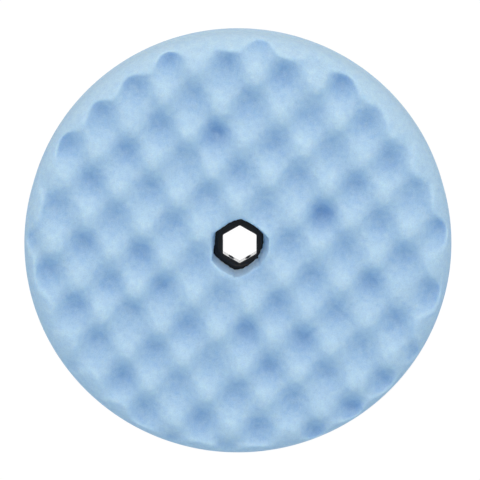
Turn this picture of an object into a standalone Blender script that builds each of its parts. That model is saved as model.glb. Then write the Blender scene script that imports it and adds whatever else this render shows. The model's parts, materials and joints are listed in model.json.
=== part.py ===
"""Double-sided foam polishing pad with a hexagonal quick-fit drive hub.

Metres, +Z up. The origin is the middle of the pad: on the spin axis, half way between the two faces.
The spin axis is Z, and +Z points out of the front face. The pad lies flat, and every piece of the rear
half is its front twin turned half a turn about X.

The stack, from the middle out: core plate, two hub halves riveted through it, a glue film over each
side of that, and a foam layer on each film. Every neighbour keeps a gap of GAP to the next.
"""

import bmesh
import bpy
from math import cos, pi, radians, sin, tan

MM = 0.001
GAP = 0.3 * MM

# Driving sizes of the pad
PAD_RADIUS = 101.6 * MM
PAD_HALF_THICKNESS = 25.0 * MM
EDGE_ARC_RADIUS = 17.0 * MM
EDGE_ARC_SWEEP = 76.0
FOAM_SEAM_ROUND = 0.8 * MM

# The egg-crate face: two trains of parallel waves that cross almost at a right angle
WAVE_PITCHES = (20.6 * MM, 20.5 * MM)
WAVE_DEPTH = 9.5 * MM
WAVE_HEADINGS = (radians(33.3), radians(-50.1))
WAVE_PHASES = (radians(160.0), radians(-50.0))
WAVE_CREST_HALF_ANGLE = radians(32.0)

# The die-cut hole through each foam layer
HOLE_FLATS_AT_HUB = 22.8 * MM
HOLE_FLATS_AT_FACE = 26.6 * MM
HOLE_TURN = radians(-7.5)
HOLE_CORNER_RADIUS = 1.2 * MM

# The hub, in two halves that meet at the middle of the pad
BORE_FLATS = 15.95 * MM
BORE_CORNER_RADIUS = 1.0 * MM
BORE_CHAMFER = 0.4 * MM
HUB_HALF_HEIGHT = 3.5 * MM
SEAT_RING_RADIUS = 10.4 * MM
SEAT_RING_RISE = 0.4 * MM
BOSS_RADIUS = 17.0 * MM
SPIGOT_RADIUS = 15.7 * MM
FLANGE_RADIUS = 38.0 * MM
FLANGE_THICKNESS = 1.5 * MM
DETENT_BALL_RADIUS = 1.8 * MM
DETENT_DEPTH = 1.0 * MM

# The core plate, its fasteners and the glue
PLATE_RADIUS = 76.0 * MM
PLATE_THICKNESS = 1.6 * MM
FILM_THICKNESS = 0.4 * MM
FILM_EDGE_INSET = 0.6 * MM
RIVET_COUNT = 6
RIVET_CIRCLE_RADIUS = 28.5 * MM
RIVET_SHANK_RADIUS = 2.0 * MM
RIVET_HEAD_RADIUS = 3.6 * MM
RIVET_HEAD_HEIGHT = 1.3 * MM
RIVET_SUNK = 0.1 * MM

# Heights above the middle plane, worked out from the sizes above
EDGE_STRAIGHT_HALF_HEIGHT = PAD_HALF_THICKNESS - EDGE_ARC_RADIUS
PLATE_TOP = PLATE_THICKNESS / 2
FLANGE_TOP = PLATE_TOP + GAP + FLANGE_THICKNESS
BOSS_TOP = HUB_HALF_HEIGHT - SEAT_RING_RISE
HALF_GAP = GAP / 2

# Sides of a full circle on the round parts, and the reach of a cutter past what it cuts
PAD_SEGMENTS = 48
CORE_SEGMENTS = 40
SMALL_SEGMENTS = 12
OVERCUT = 5.0 * MM


# Meshes


def finished_mesh(bm, name):
    """Turns a bmesh into a mesh whose faces point out, smooth except at its real edges."""
    bmesh.ops.recalc_face_normals(bm, faces=bm.faces)
    mesh = bpy.data.meshes.new(name)
    bm.to_mesh(mesh)
    bm.free()
    mesh.shade_smooth()
    mesh.set_sharp_from_angle(angle=radians(35.0))
    return mesh


def loft(bm, loops, closed=False):
    """Joins point loops of equal length into a tube, capped at both ends unless it closes on itself."""
    rings = [[bm.verts.new(point) for point in loop] for loop in loops]
    ends = zip(rings, rings[1:] + rings[:1]) if closed else zip(rings, rings[1:])
    for low, high in ends:
        for i in range(len(low)):
            j = (i + 1) % len(low)
            bm.faces.new((low[i], low[j], high[j], high[i]))
    if not closed:
        bm.faces.new(rings[0])
        bm.faces.new(rings[-1])


def turned(name, outline, segments, closed=False, start=0.0):
    """A mesh turned about Z from (radius, height) points; closed outlines make a ring.

    start is the first corner's place, in segments.
    """
    bm = bmesh.new()
    turns = [2 * pi * (start + i) / segments for i in range(segments)]
    loops = [[(r * cos(t), r * sin(t), z) for t in turns] for r, z in outline]
    loft(bm, loops, closed)
    return finished_mesh(bm, name)


def arc(centre, radius, start, end, steps):
    """Points of an arc in the (radius, height) plane, both ends included; angles are in degrees."""
    angles = [radians(start + (end - start) * i / steps) for i in range(steps + 1)]
    return [(centre[0] + radius * cos(a), centre[1] + radius * sin(a)) for a in angles]


def hexagon(flats, corner_radius, turn, height, steps=3):
    """A level hexagon with rounded corners and, at no turn, flats square to X."""
    reach = (flats / 2 - corner_radius) / cos(pi / 6)
    points = []
    for k in range(6):
        towards = turn + pi / 6 + k * pi / 3
        for i in range(steps + 1):
            a = towards + (i / steps - 0.5) * pi / 3
            x = reach * cos(towards) + corner_radius * cos(a)
            y = reach * sin(towards) + corner_radius * sin(a)
            points.append((x, y, height))
    return points


def hexagonal_cutter(name, levels, corner_radius, turn=0.0):
    """A cutter lofted through (height, size across flats) levels."""
    bm = bmesh.new()
    loft(bm, [hexagon(flats, corner_radius, turn, z) for z, flats in levels])
    return cutter(finished_mesh(bm, name))


# Objects


def add(mesh, location=(0, 0, 0), rotation=(0, 0, 0), material=None):
    """Puts a mesh in the scene as an object of the same name."""
    obj = bpy.data.objects.new(mesh.name, mesh)
    obj.location = location
    obj.rotation_euler = rotation
    if material is not None:
        obj.data.materials.clear()
        obj.data.materials.append(material)
    bpy.context.scene.collection.objects.link(obj)
    return obj


def cutter(mesh, location=(0, 0, 0), rotation=(0, 0, 0)):
    """A helper object that only shapes others."""
    obj = add(mesh, location, rotation)
    obj.hide_render = True
    obj.display_type = "WIRE"
    return obj


def shaped(mesh, steps, name):
    """The mesh after Booleans with helper objects, given as (operation, helper) steps."""
    blank = cutter(mesh)
    for operation, helper in steps:
        modifier = blank.modifiers.new(operation, "BOOLEAN")
        modifier.operation = operation
        modifier.object = helper
        modifier.solver = "EXACT"
    bpy.context.view_layer.update()
    evaluated = blank.evaluated_get(bpy.context.evaluated_depsgraph_get())
    result = bpy.data.meshes.new_from_object(evaluated)
    result.name = name
    result.shade_smooth()
    result.set_sharp_from_angle(angle=radians(35.0))
    bpy.data.objects.remove(blank)
    return result


def front_and_rear(mesh, noun, material):
    """The same piece twice: as it is, and turned half a turn about X."""
    rear = mesh.copy()
    mesh.name = "front_" + noun
    rear.name = "rear_" + noun
    add(mesh, material=material)
    add(rear, rotation=(pi, 0, 0), material=material)


def material(name, colour, roughness, metallic=0.0):
    made = bpy.data.materials.new(name)
    made.use_nodes = True
    shader = made.node_tree.nodes["Principled BSDF"]
    shader.inputs["Base Color"].default_value = (*colour, 1.0)
    shader.inputs["Roughness"].default_value = roughness
    shader.inputs["Metallic"].default_value = metallic
    made.diffuse_color = (*colour, 1.0)
    return made


# The foam


def film_steps(offset):
    """The stepped line that glue and foam share, offset outwards from flange, plate and middle plane.

    It runs outwards from beside the boss to below the rim, as (radius, height) points.
    """
    over_flange = FLANGE_TOP + GAP + offset
    over_plate = PLATE_TOP + GAP + offset
    over_rim = HALF_GAP + offset
    return [
        (BOSS_RADIUS + GAP + offset, over_flange),
        (FLANGE_RADIUS + GAP + offset, over_flange),
        (FLANGE_RADIUS + GAP + offset, over_plate),
        (PLATE_RADIUS + GAP + offset, over_plate),
        (PLATE_RADIUS + GAP + offset, over_rim),
    ]


def foam_blank():
    """The edge-rounded outline of a foam layer. Past the arc it goes on straight, to above the sheet."""
    under = film_steps(FILM_THICKNESS + GAP)
    seam = under[-1][1]
    centre = (PAD_RADIUS - EDGE_ARC_RADIUS, EDGE_STRAIGHT_HALF_HEIGHT)
    edge = arc(centre, EDGE_ARC_RADIUS, 0, EDGE_ARC_SWEEP, 4)
    top = PAD_HALF_THICKNESS + OVERCUT
    end_radius, end_height = edge[-1]
    outline = [
        (1.0 * MM, under[0][1]),
        *under[1:],
        (PAD_RADIUS - FOAM_SEAM_ROUND, seam),
        (PAD_RADIUS, seam + FOAM_SEAM_ROUND),
        *edge,
        (end_radius - (top - end_height) * tan(radians(EDGE_ARC_SWEEP)), top),
        (1.0 * MM, top),
    ]
    return turned("foam_blank", outline, PAD_SEGMENTS)


def wave_break(step):
    """Phase and half-height of one break of a wave: its crest is flat between two, its trough is one."""
    wave, place = divmod(step, 3)
    phase = (-WAVE_CREST_HALF_ANGLE, WAVE_CREST_HALF_ANGLE, pi)[place]
    half_height = (WAVE_DEPTH / 4, WAVE_DEPTH / 4, -WAVE_DEPTH / 4)[place]
    return 2 * pi * wave + phase, half_height


def crossing(phase_a, phase_b):
    """The point where the two wave trains have these phases."""
    a, b = [
        (phase - start) * pitch / (2 * pi)
        for phase, start, pitch in zip((phase_a, phase_b), WAVE_PHASES, WAVE_PITCHES)
    ]
    (ax, ay), (bx, by) = [(cos(heading), sin(heading)) for heading in WAVE_HEADINGS]
    across = ax * by - ay * bx
    return (a * by - b * ay) / across, (b * ax - a * bx) / across


def convoluted_sheet():
    """A slab of egg-crate foam that covers the pad, with its crests at the full thickness.

    Both wave trains are made of straight stretches, so every facet of the face is flat.
    """
    middle = PAD_HALF_THICKNESS - WAVE_DEPTH / 2
    waves = int(PAD_RADIUS / min(WAVE_PITCHES)) + 3
    steps = range(-3 * waves, 3 * waves + 1)
    bm = bmesh.new()
    face = {}
    for i in steps:
        for j in steps:
            phase_a, half_a = wave_break(i)
            phase_b, half_b = wave_break(j)
            face[i, j] = bm.verts.new((*crossing(phase_a, phase_b), middle + half_a + half_b))
    for i in steps[:-1]:
        for j in steps[:-1]:
            bm.faces.new((face[i, j], face[i + 1, j], face[i + 1, j + 1], face[i, j + 1]))
    border = [edge for edge in bm.edges if edge.is_boundary]
    walls = bmesh.ops.extrude_edge_only(bm, edges=border)["geom"]
    for vertex in [part for part in walls if isinstance(part, bmesh.types.BMVert)]:
        vertex.co.z = -OVERCUT
    bmesh.ops.holes_fill(bm, edges=[edge for edge in bm.edges if edge.is_boundary])
    return finished_mesh(bm, "convoluted_sheet")


def foam_layer():
    draft = (HOLE_FLATS_AT_FACE - HOLE_FLATS_AT_HUB) / (PAD_HALF_THICKNESS - HUB_HALF_HEIGHT)
    levels = [
        (z, HOLE_FLATS_AT_HUB + draft * (z - HUB_HALF_HEIGHT))
        for z in (HUB_HALF_HEIGHT - OVERCUT, PAD_HALF_THICKNESS + OVERCUT)
    ]
    hole = hexagonal_cutter("foam_hole", levels, HOLE_CORNER_RADIUS, HOLE_TURN)
    outline = cutter(foam_blank())
    layer = shaped(convoluted_sheet(), [("INTERSECT", outline), ("DIFFERENCE", hole)], "foam")
    bpy.data.objects.remove(hole)
    bpy.data.objects.remove(outline)
    return layer


def glue_film():
    """A film that lines the whole underside of a foam layer."""
    lower = film_steps(0.0)
    upper = film_steps(FILM_THICKNESS)
    rim = PAD_RADIUS - FILM_EDGE_INSET
    outline = [*lower, (rim, lower[-1][1]), (rim, upper[-1][1]), *reversed(upper)]
    return turned("film", outline, CORE_SEGMENTS, closed=True, start=0.5)


# The hub and core plate


def rivet_outline(clearance, overrun=0.0):
    """A flush rivet, or the hole for it: shank through everything, with a tapered head at both ends."""
    top = FLANGE_TOP - RIVET_SUNK
    neck = top - RIVET_HEAD_HEIGHT
    shank, head = RIVET_SHANK_RADIUS + clearance, RIVET_HEAD_RADIUS + clearance
    upper = [(shank, neck), (head, top)] + ([(head, top + overrun)] if overrun else [])
    return [(r, -z) for r, z in reversed(upper)] + upper


def on_circle(radius, count):
    """Evenly spaced places round the spin axis, the first one on +X."""
    turns = [2 * pi * k / count for k in range(count)]
    return [(radius * cos(t), radius * sin(t), 0.0) for t in turns]


def rivet_hole_cutters():
    outline = rivet_outline(clearance=1.4 * GAP, overrun=2.0 * MM)
    places = on_circle(RIVET_CIRCLE_RADIUS, RIVET_COUNT)
    return [cutter(turned(f"rivet_hole_{k}", outline, SMALL_SEGMENTS), at) for k, at in enumerate(places)]


def hub_half():
    """A moulded half hub: seat ring, boss, spigot through the plate, flange, hexagonal bore and detents."""
    seat = PLATE_TOP + GAP
    outline = [
        (1.0 * MM, HALF_GAP),
        (SPIGOT_RADIUS, HALF_GAP),
        (SPIGOT_RADIUS, seat),
        (FLANGE_RADIUS, seat),
        (FLANGE_RADIUS, FLANGE_TOP),
        (BOSS_RADIUS, FLANGE_TOP),
        (BOSS_RADIUS, BOSS_TOP),
        (SEAT_RING_RADIUS, BOSS_TOP),
        (SEAT_RING_RADIUS, HUB_HALF_HEIGHT),
        (1.0 * MM, HUB_HALF_HEIGHT),
    ]
    bore = hexagonal_cutter(
        "bore",
        [
            (-OVERCUT, BORE_FLATS),
            (HUB_HALF_HEIGHT - BORE_CHAMFER, BORE_FLATS),
            (HUB_HALF_HEIGHT + BORE_CHAMFER, BORE_FLATS + 4 * BORE_CHAMFER),
        ],
        BORE_CORNER_RADIUS,
    )
    ball_offset = BORE_FLATS / 2 + DETENT_DEPTH - DETENT_BALL_RADIUS
    latitudes = arc((0.0, 0.0), DETENT_BALL_RADIUS, -75, 75, 4)
    detents = [
        cutter(turned(f"detent_{k}", latitudes, SMALL_SEGMENTS), at)
        for k, at in enumerate(on_circle(ball_offset, 6))
    ]
    helpers = [bore, *detents, *rivet_hole_cutters()]
    blank = turned("hub_blank", outline, CORE_SEGMENTS, start=0.5)
    half = shaped(blank, [("DIFFERENCE", helper) for helper in helpers], "hub")
    for helper in helpers:
        bpy.data.objects.remove(helper)
    return half


def core_plate():
    inner = SPIGOT_RADIUS + GAP
    outline = [
        (inner, -PLATE_TOP),
        (PLATE_RADIUS, -PLATE_TOP),
        (PLATE_RADIUS, PLATE_TOP),
        (inner, PLATE_TOP),
    ]
    helpers = rivet_hole_cutters()
    blank = turned("plate_blank", outline, CORE_SEGMENTS, closed=True, start=0.5)
    plate = shaped(blank, [("DIFFERENCE", helper) for helper in helpers], "core_plate")
    for helper in helpers:
        bpy.data.objects.remove(helper)
    return plate


def main():
    for obj in list(bpy.data.objects):
        bpy.data.objects.remove(obj)
    foam_blue = material("foam_blue", (0.42, 0.66, 0.86), 0.95)
    hub_black = material("hub_black", (0.02, 0.02, 0.022), 0.35)
    glue_cream = material("glue_cream", (0.75, 0.72, 0.62), 0.5)
    plate_grey = material("plate_grey", (0.30, 0.30, 0.31), 0.6)
    rivet_metal = material("rivet_metal", (0.72, 0.72, 0.74), 0.35, metallic=1.0)

    front_and_rear(foam_layer(), "foam", foam_blue)
    front_and_rear(glue_film(), "glue_film", glue_cream)
    front_and_rear(hub_half(), "hub_half", hub_black)
    add(core_plate(), material=plate_grey)
    for k, at in enumerate(on_circle(RIVET_CIRCLE_RADIUS, RIVET_COUNT)):
        add(turned(f"hub_rivet_{k + 1}", rivet_outline(0.0), SMALL_SEGMENTS), at, material=rivet_metal)


main()
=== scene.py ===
import json
from math import cos, pi, radians, sin, sqrt

import bmesh
import bpy
import numpy as np
from mathutils import Matrix, Vector


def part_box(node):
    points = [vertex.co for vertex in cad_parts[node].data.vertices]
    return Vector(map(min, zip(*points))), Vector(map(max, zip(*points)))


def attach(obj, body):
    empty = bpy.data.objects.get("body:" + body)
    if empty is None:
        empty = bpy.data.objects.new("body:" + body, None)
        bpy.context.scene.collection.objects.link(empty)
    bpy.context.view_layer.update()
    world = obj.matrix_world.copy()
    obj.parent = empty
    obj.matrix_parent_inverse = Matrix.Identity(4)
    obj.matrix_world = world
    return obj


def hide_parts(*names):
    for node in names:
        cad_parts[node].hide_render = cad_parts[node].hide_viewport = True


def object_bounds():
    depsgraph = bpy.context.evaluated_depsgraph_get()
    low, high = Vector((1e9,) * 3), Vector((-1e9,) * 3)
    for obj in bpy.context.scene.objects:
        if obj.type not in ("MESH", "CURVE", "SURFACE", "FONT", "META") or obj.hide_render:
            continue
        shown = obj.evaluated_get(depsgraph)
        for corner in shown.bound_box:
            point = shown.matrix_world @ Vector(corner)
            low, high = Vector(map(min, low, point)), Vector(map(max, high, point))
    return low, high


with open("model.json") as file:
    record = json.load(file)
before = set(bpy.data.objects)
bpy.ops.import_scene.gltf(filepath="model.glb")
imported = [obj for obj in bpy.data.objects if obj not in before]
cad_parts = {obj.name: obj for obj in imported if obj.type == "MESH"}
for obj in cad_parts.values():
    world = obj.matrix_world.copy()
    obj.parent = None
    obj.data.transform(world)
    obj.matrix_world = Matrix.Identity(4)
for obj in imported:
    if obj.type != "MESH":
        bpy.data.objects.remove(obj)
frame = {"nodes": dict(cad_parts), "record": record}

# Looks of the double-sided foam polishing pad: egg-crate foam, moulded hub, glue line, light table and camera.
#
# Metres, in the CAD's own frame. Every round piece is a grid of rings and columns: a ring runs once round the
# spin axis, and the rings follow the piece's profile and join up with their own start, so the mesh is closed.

MM = 0.001
CAD_LOW, CAD_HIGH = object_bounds()
ROOT = "root"

# Sizes read from the frame
PAD_RADIUS = CAD_HIGH[0]
FACE_TOP = CAD_HIGH[2]
FOAM_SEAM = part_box("front_foam")[0][2]
HUB_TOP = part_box("front_hub_half")[1][2]
HUB_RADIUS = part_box("front_hub_half")[1][0]
HUB_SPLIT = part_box("front_hub_half")[0][2]
PLATE_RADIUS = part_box("core_plate")[1][0]
PLATE_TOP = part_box("core_plate")[1][2]
FILM_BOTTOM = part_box("front_glue_film")[0][2]
GAP = 0.3 * MM
FILM_THICKNESS = 0.4 * MM

# The foam is glued on a little off the hub's axis
FOAM_OFFSET = (-0.86 * MM, 0.63 * MM)

# The egg-crate face: each train's pitch, heading, phase, and how its phase bends with x*x, x*y and y*y
WAVE_DEPTH = 9.5 * MM
WAVE_TRAINS = (
    (20.6 * MM, radians(33.3), radians(165.0), (-30.0, 21.0, -27.0)),
    (20.5 * MM, radians(-50.1), radians(-56.0), (7.0, 0.0, 33.0)),
)
TRAIN_SHARES = (0.54, 0.46)

# How uneven the face is: its phase drifts, its height varies, and fine ripples lie on top
PHASE_DRIFT = 0.14
DRIFT_WAVELENGTH = 70 * MM
HEIGHT_DRIFT = 0.20
HEIGHT_WAVELENGTH = 30 * MM
RIPPLE = 0.10 * MM
RIPPLE_WAVELENGTH = 6 * MM
RIPPLE_ROOM = 0.3 * MM

# Pits deeper than the rest, by their places
DEEP_SPOTS = (
    (-11.6 * MM, 51.0 * MM),
    (38.0 * MM, 14.5 * MM),
    (-40.0 * MM, -16.0 * MM),
    (19.0 * MM, -41.5 * MM),
    (11.0 * MM, 91.5 * MM),
)
DEEP_SPOT_REACH = 16.0 * MM
DEEP_SPOT_GAIN = 0.52

# The waves grow near the rim, and lie flatter and higher round the hub
EDGE_GAIN = 0.15
EDGE_GAIN_START = 80 * MM
EDGE_GAIN_RUN = 15 * MM
HUB_CALM = 0.35
HUB_LIFT = 0.24
HUB_CALM_REACH = 20.0 * MM

# The ground edge, and the lip that closes the seam between the two layers
EDGE_ARC = 17.0 * MM
EDGE_STRAIGHT = FACE_TOP - EDGE_ARC
CREASE_ROUND = 1.8 * MM
SEAM_ROUND = 0.5 * MM
SEAM_LIP = 0.02 * MM
SEAM_LIP_WIDTH = 1.2 * MM
UNDERSIDE_ROOM = 2 * MM
SOFTNESS = 0.12 * MM
SOFTNESS_WAVELENGTH = 14 * MM
SOFTNESS_FADE = 8 * MM

# The die-cut hole through the foam: its circumradius, and its centre's place from the hub's axis
HOLE_AT_HUB = (13.3 * MM, -0.45 * MM, 0.15 * MM)
HOLE_AT_FACE = (15.4 * MM, 0.2 * MM, 2.1 * MM)
HOLE_TURN = radians(-7.5)
HOLE_CORNER = 0.22
HOLE_CORNER_SPREAD = 0.12
HOLE_LIP_ROUND = 1.5 * MM

# Its cut wall is ragged, coarsely and finely: each by a share of its radius, over a wavelength
RAGGED_SAMPLE_RADIUS = 10 * MM
RAGGED_COARSE = (0.02, 9 * MM)
RAGGED_FINE = (0.010, 1.8 * MM)

# The cut runs inside one of the hole's corners
SHORT_CORNER = radians(-38.0)
SHORT_CORNER_DEPTH = 1.05 * MM
SHORT_CORNER_SPREAD = radians(32.0)

# Foam colour by shape: painted shade that deepens it into the pits and up the hole's wall, and a slight deeper
# tone on the ground edge
PIT_FOCUS = 1.2
PIT_LIMIT = 1.3
CREASE_FADE = 2.6 * MM
EDGE_TINT = 0.12
EDGE_TINT_FADE = 6 * MM
HOLE_WALL_SHADE = 0.55

# The hub half, inside and out
BORE_FLATS = 15.95 * MM
BORE_CORNER = 1.0 * MM
BORE_CHAMFER = 0.5 * MM
DETENT_BALL = 1.8 * MM
DETENT_DEPTH = 1.0 * MM
DETENT_STRETCH = 1.5
SEAT_RING_RADIUS = 10.4 * MM
BOSS_RADIUS = 17.0 * MM
BOSS_TOP = HUB_TOP - 0.4 * MM
FLANGE_TOP = PLATE_TOP + GAP + 1.5 * MM
SPIGOT_RADIUS = 15.7 * MM
RIVET_ROOM = 1.12

# The glue film's wavy edge
FILM_INSET = 2.2 * MM
FILM_WAVINESS = 0.25 * MM
FILM_WAVELENGTH = 12 * MM

# How finely the pieces are modelled
HUB_COLUMNS = 360
BORE_RINGS = 16
FILM_COLUMNS = 240
FOAM_COLUMNS = 600
WALL_RINGS = 12
LIP_RINGS = 5
FACE_RINGS = 104
EDGE_RINGS = 22
CREASE_TRIES = 300
CREASE_BLUR = 9


def wobble(x, y, seed, wavelength, count=7):
    """Smooth random waves, between about -1 and 1, of roughly one wavelength."""
    random = np.random.default_rng(seed)
    total = np.zeros_like(x)
    for _ in range(count):
        heading = random.uniform(0, 2 * pi)
        number = 2 * pi / (wavelength * random.uniform(0.75, 1.35))
        phase = random.uniform(0, 2 * pi)
        total += np.sin(number * (x * cos(heading) + y * sin(heading)) + phase)
    return total / sqrt(count)


def smooth_least(a, b, width):
    """The lower of two heights, rounded off where they come within a width of each other."""
    closeness = np.clip(0.5 + 0.5 * (b - a) / width, 0, 1)
    return b + (a - b) * closeness - width * closeness * (1 - closeness)


def smoothed(values, reach):
    """Values round a closed loop, averaged over a bell of neighbours that fades out by its reach."""
    steps = np.arange(-reach, reach + 1)
    bell = np.cos(pi / 2 * steps / (reach + 1)) ** 2
    return sum(weight * np.roll(values, step) for weight, step in zip(bell, steps)) / bell.sum()


def bezier(start, corner, end, steps):
    """Points strictly between two profile points, on the curve that a corner point pulls."""
    points = []
    for i in range(1, steps):
        t = i / steps
        points.append(
            tuple((1 - t) ** 2 * a + 2 * t * (1 - t) * b + t * t * c for a, b, c in zip(start, corner, end))
        )
    return points


def columns(count):
    """The angles of a round piece's columns, with their cosines, their sines and as many ones."""
    angle = np.linspace(0, 2 * pi, count, endpoint=False)
    return angle, np.cos(angle), np.sin(angle), np.ones(count)


def stacked(profile):
    """The radii and the heights of a profile's rings, as two grids."""
    return np.array([p[0] for p in profile]), np.array([p[1] for p in profile])


def grid_mesh(name, x, y, z):
    """A closed mesh over a grid of rings and columns, both of which join up with their own start."""
    ring_count, column_count = x.shape
    points = np.stack([x, y, z], axis=-1).reshape(-1, 3)
    index = np.arange(ring_count * column_count).reshape(ring_count, column_count)
    nexts = np.roll(index, -1, axis=0)
    quads = np.stack(
        [index, np.roll(index, -1, axis=1), np.roll(nexts, -1, axis=1), nexts], axis=-1
    ).reshape(-1, 4)
    mesh = bpy.data.meshes.new(name)
    mesh.vertices.add(len(points))
    mesh.vertices.foreach_set("co", points.ravel())
    mesh.loops.add(quads.size)
    mesh.loops.foreach_set("vertex_index", quads.ravel())
    mesh.polygons.add(len(quads))
    mesh.polygons.foreach_set("loop_start", np.arange(0, quads.size, 4))
    mesh.update(calc_edges=True)
    mesh.shade_smooth()
    mesh.set_sharp_from_angle(angle=radians(50))
    return mesh


def add_piece(name, mesh, node, slot, over):
    """A visible piece in place of a CAD node. The rear twin is the front one turned over about X."""
    if over:
        mesh.transform(Matrix.Rotation(pi, 4, "X"))
    piece = bpy.data.objects.new(name, mesh)
    bpy.context.scene.collection.objects.link(piece)
    mesh.materials.append(MATERIALS[slot])
    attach(piece, ROOT)
    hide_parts(node)
    return piece


# Foam


def waffle(x, y, seed):
    """Height of the convoluted face: two wave trains that cross, uneven, with a few deeper pits."""
    waves = []
    for k, (pitch, heading, start, bend) in enumerate(WAVE_TRAINS):
        phase = 2 * pi / pitch * (x * cos(heading) + y * sin(heading)) + start
        phase += bend[0] * x * x + bend[1] * x * y + bend[2] * y * y
        phase += PHASE_DRIFT * wobble(x, y, seed + k, DRIFT_WAVELENGTH)
        waves.append(np.cos(phase))
    wave = TRAIN_SHARES[0] * waves[0] + TRAIN_SHARES[1] * waves[1]
    wave = wave * (1 + HEIGHT_DRIFT * wobble(x, y, seed + 2, HEIGHT_WAVELENGTH))
    from_axis = np.hypot(x, y)
    wave = wave * (1 + EDGE_GAIN * np.clip((from_axis - EDGE_GAIN_START) / EDGE_GAIN_RUN, 0, 1))
    near_hub = np.exp(-((from_axis / HUB_CALM_REACH) ** 2))
    wave = wave * (1 - HUB_CALM * near_hub) + HUB_LIFT * near_hub
    for spot_x, spot_y in DEEP_SPOTS:
        nearness = np.exp(-((np.hypot(x - spot_x, y - spot_y) / DEEP_SPOT_REACH) ** 2))
        wave = wave - DEEP_SPOT_GAIN * nearness * np.clip((1 - wave) / 2, 0, 1) ** 2
    ripple = RIPPLE * wobble(x, y, seed + 3, RIPPLE_WAVELENGTH, 11)
    return FACE_TOP - WAVE_DEPTH / 2 + WAVE_DEPTH / 2 * wave + ripple - RIPPLE_ROOM


def edge_height(r):
    """Height of the ground edge's arc, at a radius from the pad's axis."""
    inwards = np.maximum(r - (PAD_RADIUS - EDGE_ARC), 0)
    return EDGE_STRAIGHT + np.sqrt(np.maximum(EDGE_ARC**2 - inwards**2, 0))


def hexagon_radius(angle, corner):
    """Polar radius of a hexagon of circumradius 1 whose corners are blunted by a share of the flats' dip."""
    sixth = pi / 3
    local = np.abs(np.mod(angle + sixth / 2, sixth) - sixth / 2)
    sharp = cos(sixth / 2) / np.cos(sixth / 2 - local)
    return sharp * (1 - corner * (1 - cos(sixth / 2)) * np.exp(-((local / HOLE_CORNER_SPREAD) ** 2)))


def hole_wall(angle, c, s, seed, offset):
    """The hole's wall as a function of height: a ragged hexagon that leans out and drifts as it rises."""
    outline = hexagon_radius(angle - HOLE_TURN - pi / 2, HOLE_CORNER)
    across, along = RAGGED_SAMPLE_RADIUS * c, RAGGED_SAMPLE_RADIUS * s
    coarse = 1 + RAGGED_COARSE[0] * wobble(across, along, seed + 4, RAGGED_COARSE[1])
    off_corner = np.mod(angle - SHORT_CORNER + pi, 2 * pi) - pi
    cut_in = SHORT_CORNER_DEPTH * np.exp(-((off_corner / SHORT_CORNER_SPREAD) ** 2))

    def wall(z):
        fine = wobble(across + 0.5 * z, along - 0.5 * z, seed + 8, RAGGED_FINE[1])
        ragged = coarse + RAGGED_FINE[0] * fine
        share = (z - HUB_TOP) / (FACE_TOP - HUB_TOP)
        reach, mid_x, mid_y = [low + (high - low) * share for low, high in zip(HOLE_AT_HUB, HOLE_AT_FACE)]
        return reach * outline * ragged - cut_in + (mid_x - offset[0]) * c + (mid_y - offset[1]) * s

    return wall


def foam_underside():
    """The underside's (radius, height) corners, from the lip inwards over the core plate and hub flange."""
    over_plate = PLATE_TOP + 2 * GAP + FILM_THICKNESS
    over_flange = FLANGE_TOP + 2 * GAP + FILM_THICKNESS
    plate_step = PLATE_RADIUS + UNDERSIDE_ROOM
    flange_step = HUB_RADIUS + UNDERSIDE_ROOM
    lip_inside = PAD_RADIUS - SEAM_LIP_WIDTH
    return (
        (lip_inside, SEAM_LIP),
        (lip_inside, FOAM_SEAM),
        (plate_step, FOAM_SEAM),
        (plate_step, over_plate),
        (flange_step, over_plate),
        (flange_step, over_flange),
    )


def painted_shade_and_edge_tone(r, z, face_rings):
    """How deep in a pit each point lies, in shares of the waves' depth. It sets the foam's colour: painted
    shade in the pits and up the hole's wall, and a slight deeper tone on the ground edge.
    """
    first, last = face_rings
    # The painted pit shade fades out towards the crease, where a pit meets the ground edge
    below_edge = np.clip((edge_height(r) - z) / CREASE_FADE, 0, 1)
    pit = np.clip((FACE_TOP - z) / WAVE_DEPTH, 0, PIT_LIMIT) ** PIT_FOCUS * below_edge
    on_edge = np.clip((r - (PAD_RADIUS - EDGE_ARC)) / EDGE_TINT_FADE, 0, 1)
    pit = np.maximum(pit, EDGE_TINT * on_edge)
    pit[last:] = EDGE_TINT
    # Painted shade up the hole's wall: deepest at its foot, easing into the face's value at the lip
    up_wall = np.linspace(0, 1, first)[:, None] ** 4
    pit[:first] = HOLE_WALL_SHADE + (pit[first] - HOLE_WALL_SHADE) * up_wall
    return pit


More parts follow.
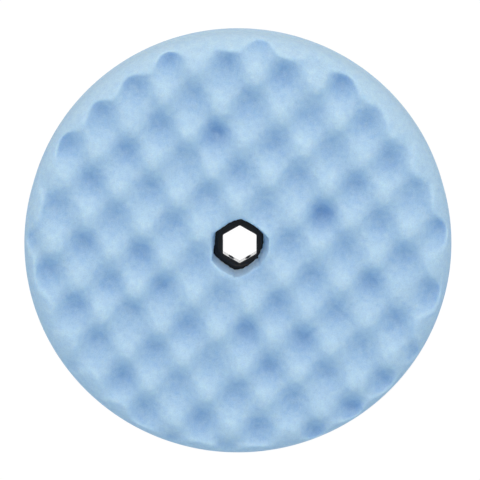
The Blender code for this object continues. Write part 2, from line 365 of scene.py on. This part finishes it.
def foam_mesh(name, seed, offset):
    """A closed foam layer, front side up: its columns run up the hole, across the face and round the edge."""
    angle, c, s, flat = columns(FOAM_COLUMNS)
    wall = hole_wall(angle, c, s, seed, offset)

    def face(r):
        return waffle(r * c, r * s, seed)

    def top(r, edge):
        return smooth_least(face(r), edge, CREASE_ROUND)

    # Hole wall, up to its rounded lip, which is where the wall meets the face
    lip_z = np.full(FOAM_COLUMNS, FACE_TOP)
    for _ in range(12):
        lip_z = face(wall(lip_z))
    lip_r = wall(lip_z)
    foot = HUB_TOP + 0.1 * MM
    profile = [(wall(foot * flat), foot * flat)]
    for i in range(1, WALL_RINGS + 1):
        z = foot + (lip_z - HOLE_LIP_ROUND - foot) * i / WALL_RINGS
        profile.append((wall(z), z))
    inner_r = lip_r + HOLE_LIP_ROUND
    profile += bezier(profile[-1], (lip_r, lip_z), (inner_r, face(inner_r)), LIP_RINGS)
    first_face_ring = len(profile)

    # Face, out to the crease: the outermost place where the face is lower than the ground edge
    tries = np.linspace(PAD_RADIUS, PAD_RADIUS - EDGE_ARC - 1 * MM, CREASE_TRIES)
    lower = np.array([face(r) < edge_height(r) for r in tries])
    crease_r = smoothed(tries[np.argmax(lower, axis=0)], CREASE_BLUR)
    for i in range(FACE_RINGS + 1):
        r = inner_r + (crease_r - inner_r) * i / FACE_RINGS
        profile.append((r, top(r, edge_height(r))))

    # Ground edge, straight wall and the rounded lip that meets the other layer's
    centre_r = PAD_RADIUS - EDGE_ARC
    crease_turn = np.arccos(np.clip((crease_r - centre_r) / EDGE_ARC, 0, 1))
    for i in range(1, EDGE_RINGS + 1):
        turn = crease_turn * (1 - i / EDGE_RINGS)
        r = centre_r + EDGE_ARC * np.cos(turn)
        profile.append((r, top(r, EDGE_STRAIGHT + EDGE_ARC * np.sin(turn))))
    last_face_ring = len(profile)
    low = SEAM_LIP + SEAM_ROUND
    for i in range(1, 5):
        profile.append((PAD_RADIUS * flat, (EDGE_STRAIGHT + (low - EDGE_STRAIGHT) * i / 4) * flat))
    for i in range(1, 4):
        turn = pi / 2 * i / 3
        r = PAD_RADIUS - SEAM_ROUND * (1 - cos(turn))
        profile.append((r * flat, (low - SEAM_ROUND * sin(turn)) * flat))
    profile += [(r * flat, z * flat) for r, z in foam_underside()]

    # Soft foam is never quite true. Only the outline and the underside stay as they are
    r, z = stacked(profile)
    x, y = r * c, r * s
    soft = SOFTNESS * wobble(x + z, y - z, seed + 5, SOFTNESS_WAVELENGTH, 9)
    soft = soft * (z > low) * np.clip((PAD_RADIUS - r) / SOFTNESS_FADE, 0, 1)
    x, y = x + soft * c, y + soft * s
    mesh = grid_mesh(name, x + offset[0], y + offset[1], z)
    # The painted shade, one value per point, which the foam's colour reads as its pit attribute
    layer = mesh.attributes.new("pit", "FLOAT", "POINT")
    pit = painted_shade_and_edge_tone(r, z, (first_face_ring, last_face_ring))
    layer.data.foreach_set("value", pit.ravel().astype(np.float32))
    return mesh


# Hub and glue


def rounded(profile, corners, steps=3):
    """A profile of (radius, height) points with each corner in corners {index: size} turned into a curve."""
    points = []
    for i, point in enumerate(profile):
        if i not in corners:
            points.append(point)
            continue
        size = corners[i]
        before, after = [np.array(profile[(i + step) % len(profile)]) for step in (-1, 1)]
        here = np.array(point)
        start = here + (before - here) / np.linalg.norm(before - here) * size
        end = here + (after - here) / np.linalg.norm(after - here) * size
        points += [tuple(start), *bezier(tuple(start), point, tuple(end), steps), tuple(end)]
    return points


def bore_radius(angle, flats, corner_radius):
    """Polar radius of a hexagon with flats square to X and truly round corners."""
    local = np.abs(np.mod(angle, pi / 3) - pi / 6)
    apothem = flats / 2
    sharp = apothem / np.cos(pi / 6 - local)
    reach = (apothem - corner_radius) / cos(pi / 6)
    half_chord = np.sqrt(np.maximum(corner_radius**2 - (reach * np.sin(local)) ** 2, 0))
    round_corner = reach * np.cos(local) + half_chord
    tangent = np.arctan2(corner_radius * sin(pi / 6), reach + corner_radius * cos(pi / 6))
    return np.where(local < tangent, round_corner, sharp)


def detent_depth(angle, r, z):
    """How far a ball pocket, one in the middle of each flat, pushes the bore's wall out."""
    local = np.mod(angle + pi / 6, pi / 3) - pi / 6
    along = r * np.sin(local)
    inset = BORE_FLATS / 2 + DETENT_DEPTH - DETENT_BALL
    dome = inset + np.sqrt(np.maximum(DETENT_BALL**2 - along**2 - (z / DETENT_STRETCH) ** 2, 0))
    return np.maximum(dome - BORE_FLATS / 2, 0) / np.cos(local)


def hub_mesh(name):
    """A closed hub half, front side up: up the bore, over the seat ring, boss and flange, and back."""
    angle, c, s, flat = columns(HUB_COLUMNS)
    wall = bore_radius(angle, BORE_FLATS, BORE_CORNER)
    mouth = bore_radius(angle, BORE_FLATS + 2 * BORE_CHAMFER, BORE_CORNER + BORE_CHAMFER / 2)
    chamfer_foot = HUB_TOP - BORE_CHAMFER
    profile = []
    for i in range(BORE_RINGS + 1):
        z = HUB_SPLIT + (chamfer_foot - HUB_SPLIT) * i / BORE_RINGS
        profile.append((wall + detent_depth(angle, wall, z), z * flat))
    profile.append((wall + 0.35 * (mouth - wall), (chamfer_foot + 0.15 * BORE_CHAMFER) * flat))
    profile.append((wall + 0.75 * (mouth - wall), (HUB_TOP - 0.15 * BORE_CHAMFER) * flat))
    profile.append((mouth + 0.1 * MM, HUB_TOP * flat))

    # Each outer corner, with how far its curve reaches along its two sides
    under = PLATE_TOP + GAP
    corners = (
        ((SEAT_RING_RADIUS, HUB_TOP), 0.25 * MM),
        ((SEAT_RING_RADIUS, BOSS_TOP), 0.12 * MM),
        ((BOSS_RADIUS, BOSS_TOP), 0.3 * MM),
        ((BOSS_RADIUS, FLANGE_TOP), 0.2 * MM),
        ((HUB_RADIUS, FLANGE_TOP), 0.5 * MM),
        ((HUB_RADIUS, under), 0.4 * MM),
        ((SPIGOT_RADIUS, under), 0.3 * MM),
        ((SPIGOT_RADIUS, HUB_SPLIT), 0.2 * MM),
    )
    outer = [point for point, size in corners]
    for r, z in rounded(outer, {i: size for i, (point, size) in enumerate(corners)}):
        profile.append((r * flat, z * flat))
    r, z = stacked(profile)
    return grid_mesh(name, r * c, r * s, z)


def rivet_hole_cutter():
    """The rivets' own solids, a little larger, joined in one object."""
    joined = bpy.data.meshes.new("rivet_holes")
    points, faces = [], []
    for node, obj in frame["nodes"].items():
        if not node.startswith("hub_rivet"):
            continue
        low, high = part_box(node)
        middle = (low + high) / 2
        start = len(points)
        points += [middle + RIVET_ROOM * (vertex.co - middle) for vertex in obj.data.vertices]
        faces += [[start + i for i in face.vertices] for face in obj.data.polygons]
    joined.from_pydata(points, [], faces)
    merged = bmesh.new()
    merged.from_mesh(joined)
    bmesh.ops.remove_doubles(merged, verts=merged.verts, dist=1e-6)
    merged.to_mesh(joined)
    merged.free()
    cutter = bpy.data.objects.new("rivet_holes", joined)
    bpy.context.scene.collection.objects.link(cutter)
    return cutter


def drill_rivet_holes(hub):
    """Cuts the hub's flange round each rivet, with a little room to spare."""
    cutter = rivet_hole_cutter()
    cut = hub.modifiers.new("rivet_holes", "BOOLEAN")
    cut.operation = "DIFFERENCE"
    cut.object = cutter
    cut.solver = "EXACT"
    bpy.context.view_layer.update()
    drilled = bpy.data.meshes.new_from_object(hub.evaluated_get(bpy.context.evaluated_depsgraph_get()))
    hub.modifiers.clear()
    hub.data = drilled
    bpy.data.objects.remove(cutter)


def film_mesh(name, seed, offset):
    """A closed glue film that lines a foam layer's underside, front side up, with a wavy squeezed-out edge."""
    _, c, s, flat = columns(FILM_COLUMNS)
    squeezed = FILM_WAVINESS * wobble(PAD_RADIUS * c, PAD_RADIUS * s, seed, FILM_WAVELENGTH)
    edge = PAD_RADIUS - FILM_INSET + squeezed
    steps = [
        (BOSS_RADIUS + GAP, FLANGE_TOP + GAP),
        (HUB_RADIUS + GAP, FLANGE_TOP + GAP),
        (HUB_RADIUS + GAP, PLATE_TOP + GAP),
        (PLATE_RADIUS + GAP, PLATE_TOP + GAP),
        (PLATE_RADIUS + GAP, FILM_BOTTOM),
    ]
    thick = FILM_THICKNESS
    profile = [(r * flat, z * flat) for r, z in steps]
    middle = FILM_BOTTOM + thick / 2
    off_centre = offset[0] * c + offset[1] * s
    for i in range(7):
        turn = pi * (i / 6 - 0.5)
        profile.append((edge + thick / 2 * cos(turn) + off_centre, (middle + thick / 2 * sin(turn)) * flat))
    profile += [((r + thick) * flat, (z + thick) * flat) for r, z in reversed(steps)]
    r, z = stacked(profile)
    return grid_mesh(name, r * c, r * s, z)


# Materials


# The foam's colour runs from light to deep: painted shade by how deep a point lies in a pit, added to the real
# shading of the waves, and two sizes of noise
FOAM_LIGHT = (0.530, 0.727, 0.872)
FOAM_DEEP = (0.230, 0.435, 0.745)
PIT_SHADE_SHARE = 0.42
DEPTH_BASE = 0.17
MOTTLE = 0.58
MOTTLE_SIZE = 3.0 * MM
GRAIN = 0.28
GRAIN_SIZE = 0.9 * MM

# Its open cells: how big they are, and how much lighter their middles and darker their walls look
CELL_SIZE = 0.55 * MM
SPECKLE = 0.07


def new_material(name):
    made = bpy.data.materials.new(name)
    made.use_nodes = True
    return made, made.node_tree, made.node_tree.nodes["Principled BSDF"]


def add_noise(tree, place, size, detail):
    """A noise texture over the object's own space, with features of about one size."""
    node = tree.nodes.new("ShaderNodeTexNoise")
    node.inputs["Scale"].default_value = 1 / size
    node.inputs["Detail"].default_value = detail
    tree.links.new(place.outputs["Object"], node.inputs["Vector"])
    return node


def add_bump(tree, height, strength, distance):
    node = tree.nodes.new("ShaderNodeBump")
    node.inputs["Strength"].default_value = strength
    node.inputs["Distance"].default_value = distance
    tree.links.new(height, node.inputs["Height"])
    return node


def add_scaled(tree, source, share, offset):
    """A value times a share, plus an offset that is a number or another value."""
    node = tree.nodes.new("ShaderNodeMath")
    node.operation = "MULTIPLY_ADD"
    node.inputs[1].default_value = share
    tree.links.new(source, node.inputs[0])
    if isinstance(offset, float):
        node.inputs[2].default_value = offset
    else:
        tree.links.new(offset, node.inputs[2])
    return node.outputs["Value"]


def foam_material():
    made, tree, shader = new_material("open_cell_foam")
    nodes, links = tree.nodes, tree.links
    place = nodes.new("ShaderNodeTexCoord")
    pit = nodes.new("ShaderNodeAttribute")
    pit.attribute_name = "pit"
    cells = nodes.new("ShaderNodeTexVoronoi")
    cells.inputs["Scale"].default_value = 1 / CELL_SIZE
    links.new(place.outputs["Object"], cells.inputs["Vector"])
    mottle = add_noise(tree, place, MOTTLE_SIZE, 3.0)
    grain = add_noise(tree, place, GRAIN_SIZE, 2.0)

    # Colour: painted pit shade from the pit attribute, then mottle and grain
    depth = add_scaled(tree, pit.outputs["Fac"], PIT_SHADE_SHARE, DEPTH_BASE - 0.5 * (MOTTLE + GRAIN))
    depth = add_scaled(tree, mottle.outputs["Fac"], MOTTLE, depth)
    depth = add_scaled(tree, grain.outputs["Fac"], GRAIN, depth)
    ramp = nodes.new("ShaderNodeValToRGB")
    ramp.color_ramp.elements[0].position = 0.0
    ramp.color_ramp.elements[0].color = (*FOAM_LIGHT, 1)
    ramp.color_ramp.elements[1].position = 1.0
    ramp.color_ramp.elements[1].color = (*FOAM_DEEP, 1)
    links.new(depth, ramp.inputs["Fac"])
    speckle = nodes.new("ShaderNodeMapRange")
    speckle.inputs["To Min"].default_value = 1 + SPECKLE
    speckle.inputs["To Max"].default_value = 1 - SPECKLE
    links.new(cells.outputs["Distance"], speckle.inputs["Value"])
    tone = nodes.new("ShaderNodeHueSaturation")
    links.new(speckle.outputs["Result"], tone.inputs["Value"])
    links.new(ramp.outputs["Color"], tone.inputs["Color"])
    links.new(tone.outputs["Color"], shader.inputs["Base Color"])

    # Relief, and light that soaks in
    pores = add_bump(tree, cells.outputs["Distance"], 0.7, 0.2 * MM)
    lumps = add_bump(tree, grain.outputs["Fac"], 0.45, 0.4 * MM)
    links.new(pores.outputs["Normal"], lumps.inputs["Normal"])
    links.new(lumps.outputs["Normal"], shader.inputs["Normal"])
    shader.inputs["Roughness"].default_value = 0.95
    shader.inputs["Specular IOR Level"].default_value = 0.1
    shader.inputs["Subsurface Weight"].default_value = 0.5
    shader.inputs["Subsurface Radius"].default_value = (0.8, 1.0, 1.3)
    shader.inputs["Subsurface Scale"].default_value = 2.0 * MM
    return made


def simple_material(name, colour, roughness, metallic=0.0):
    """One colour, with a fine grain in its gloss and relief."""
    made, tree, shader = new_material(name)
    nodes, links = tree.nodes, tree.links
    place = nodes.new("ShaderNodeTexCoord")
    grain = add_noise(tree, place, 0.6 * MM, 4.0)
    rough = nodes.new("ShaderNodeMapRange")
    rough.inputs["To Min"].default_value = roughness - 0.08
    rough.inputs["To Max"].default_value = roughness + 0.08
    links.new(grain.outputs["Fac"], rough.inputs["Value"])
    links.new(rough.outputs["Result"], shader.inputs["Roughness"])
    bump = add_bump(tree, grain.outputs["Fac"], 0.15, 0.05 * MM)
    links.new(bump.outputs["Normal"], shader.inputs["Normal"])
    shader.inputs["Base Color"].default_value = (*colour, 1)
    shader.inputs["Metallic"].default_value = metallic
    return made


MATERIALS = {
    "foam": foam_material(),
    "hub_plastic": simple_material("hub_plastic", (0.005, 0.005, 0.006), 0.20),
    "glue": simple_material("glue", (0.70, 0.70, 0.64), 0.45),
    "plate_plastic": simple_material("plate_plastic", (0.25, 0.25, 0.26), 0.6),
    "rivet_metal": simple_material("rivet_metal", (0.7, 0.7, 0.72), 0.35, 1.0),
}


def dress_cad_nodes():
    slots = {entry["node"]: entry["material_slot"] for entry in frame["record"]["subparts"]}
    for node, obj in frame["nodes"].items():
        obj.data.materials.clear()
        obj.data.materials.append(MATERIALS[slots[node]])


# Stage


# The camera leans towards +Y off the spin axis, and aims beside the pad's middle, in shares of the view's width
TILT_TO_TOP = radians(12.1)
CAMERA_DISTANCE = 1.70
PAD_SHARE_OF_FRAME = 0.8853
SENSOR_WIDTH = 36.0
AIM_SHARE = (0.00435, 0.00318)

# The light table, and its brighter core, which only shines in the bore's glossy walls
FLOOR_HALF_SIDE = 3.0
FLOOR_GLOW = 1.0
CORE_GLOW = 2.2

# The tent: its strength, how much of it leans to +Y, and its shares below the horizon and overhead
SKY_COLOUR = (0.79, 0.90, 1.0)
SKY = 0.90
SKY_LEAN = 0.07
GROUND_SHARE = 0.54
HORIZON_BLUR = 0.12
ZENITH_SHARE = 0.45
ZENITH_PATCH = (radians(16), radians(36))

# The key lamp, towards +Y
KEY_COLOUR = (1.0, 0.74, 0.50)
KEY_WATTS = 11.2
KEY_SIZE = (1.0, 0.7)
KEY_DISTANCE = 1.5
KEY_ELEVATION = radians(50)


def add_camera():
    data = bpy.data.cameras.new("camera")
    data.sensor_width = SENSOR_WIDTH
    data.lens = SENSOR_WIDTH * PAD_SHARE_OF_FRAME * CAMERA_DISTANCE / (2 * PAD_RADIUS)
    data.clip_start = 0.1
    data.clip_end = 20.0
    camera = bpy.data.objects.new("camera", data)
    bpy.context.scene.collection.objects.link(camera)
    towards = Vector((0, sin(TILT_TO_TOP), cos(TILT_TO_TOP)))
    up = Vector((0, cos(TILT_TO_TOP), -sin(TILT_TO_TOP)))
    right = up.cross(towards)
    view_width = 2 * PAD_RADIUS / PAD_SHARE_OF_FRAME
    pad_centre = Vector((*FOAM_OFFSET, 0))
    target = pad_centre + right * AIM_SHARE[0] * view_width + up * AIM_SHARE[1] * view_width
    camera.location = target + towards * CAMERA_DISTANCE
    camera.rotation_euler = Matrix((right, up, towards)).transposed().to_euler()
    bpy.context.scene.camera = camera


def glowing_material(name, strength):
    made, tree, shader = new_material(name)
    shader.inputs["Base Color"].default_value = (0.02, 0.02, 0.02, 1)
    shader.inputs["Emission Color"].default_value = (1, 1, 1, 1)
    shader.inputs["Emission Strength"].default_value = strength
    return made, shader


def add_floor():
    """A light table that shines white but doesn't light the foam: the tent's lower half does that."""
    side, height = FLOOR_HALF_SIDE, CAD_LOW[2]
    corners = [(-side, -side, height), (side, -side, height), (side, side, height), (-side, side, height)]
    mesh = bpy.data.meshes.new("floor")
    mesh.from_pydata(corners, [], [(0, 1, 2, 3)])
    floor = bpy.data.objects.new("floor", mesh)
    bpy.context.scene.collection.objects.link(floor)
    made, shader = glowing_material("light_table", FLOOR_GLOW)
    shader.inputs["Roughness"].default_value = 0.9
    shader.inputs["Specular IOR Level"].default_value = 0.0
    mesh.materials.append(made)
    floor.visible_diffuse = False
    floor.visible_shadow = False


def add_core_lamp():
    """A disc just above the floor, under the hole, that only the hub's gloss sees."""
    bpy.ops.mesh.primitive_circle_add(vertices=48, radius=HOLE_AT_HUB[0], fill_type="NGON")
    lamp = bpy.context.object
    lamp.name = "light_table_core"
    lamp.location = (0, 0, CAD_LOW[2] + 1 * MM)
    made, _ = glowing_material("light_table_core", CORE_GLOW)
    lamp.data.materials.append(made)
    lamp.visible_camera = False
    lamp.visible_diffuse = False
    lamp.visible_shadow = False


def add_range(tree, source, start, end, low, high):
    """Maps a value between start and end to a level between low and high, easing in and out."""
    node = tree.nodes.new("ShaderNodeMapRange")
    node.interpolation_type = "SMOOTHSTEP"
    node.inputs["From Min"].default_value = start
    node.inputs["From Max"].default_value = end
    node.inputs["To Min"].default_value = low
    node.inputs["To Max"].default_value = high
    tree.links.new(source, node.inputs["Value"])
    return node


def add_tent():
    """A bluish white tent: even all round, brighter towards +Y, weaker below and darker overhead."""
    world = bpy.data.worlds.new("studio")
    world.use_nodes = True
    tree = world.node_tree
    nodes, links = tree.nodes, tree.links
    place = nodes.new("ShaderNodeTexCoord")
    split = nodes.new("ShaderNodeSeparateXYZ")
    links.new(place.outputs["Generated"], split.inputs["Vector"])
    lean = nodes.new("ShaderNodeMapRange")
    lean.inputs["From Min"].default_value = -1.0
    lean.inputs["To Min"].default_value = SKY * (1 - SKY_LEAN)
    lean.inputs["To Max"].default_value = SKY * (1 + SKY_LEAN)
    links.new(split.outputs["Y"], lean.inputs["Value"])
    inner, outer = ZENITH_PATCH
    patch = add_range(tree, split.outputs["Z"], cos(outer), cos(inner), 1.0, ZENITH_SHARE)
    ground = add_range(tree, split.outputs["Z"], -HORIZON_BLUR, HORIZON_BLUR, GROUND_SHARE, 1.0)
    level = lean.outputs["Result"]
    for share in (patch, ground):
        product = nodes.new("ShaderNodeMath")
        product.operation = "MULTIPLY"
        links.new(level, product.inputs[0])
        links.new(share.outputs["Result"], product.inputs[1])
        level = product.outputs["Value"]
    background = nodes["Background"]
    background.inputs["Color"].default_value = (*SKY_COLOUR, 1)
    links.new(level, background.inputs["Strength"])
    bpy.context.scene.world = world


def add_key():
    """A wide warm lamp that models the waves."""
    data = bpy.data.lights.new("key", "AREA")
    data.shape = "RECTANGLE"
    data.size, data.size_y = KEY_SIZE
    data.color = KEY_COLOUR
    data.energy = KEY_WATTS
    key = bpy.data.objects.new("key", data)
    bpy.context.scene.collection.objects.link(key)
    key.location = KEY_DISTANCE * Vector((0, cos(KEY_ELEVATION), sin(KEY_ELEVATION)))
    key.rotation_euler = (-key.location).to_track_quat("-Z", "Y").to_euler()


def main():
    bpy.context.scene.view_settings.view_transform = "Standard"
    add_camera()
    add_floor()
    add_core_lamp()
    add_tent()
    add_key()
    dress_cad_nodes()
    for side, seed, turn in (("front", 11, 1), ("rear", 47, -1)):
        offset = (FOAM_OFFSET[0], turn * FOAM_OFFSET[1])
        name = f"foam_face_{side}"
        foam = add_piece(name, foam_mesh(name, seed, offset), f"{side}_foam", "foam", turn < 0)
        name = f"glue_line_{side}"
        add_piece(name, film_mesh(name, seed + 6, offset), f"{side}_glue_film", "glue", turn < 0)
        name = f"moulded_hub_{side}"
        hub = add_piece(name, hub_mesh(name), f"{side}_hub_half", "hub_plastic", turn < 0)
        drill_rivet_holes(hub)


main()
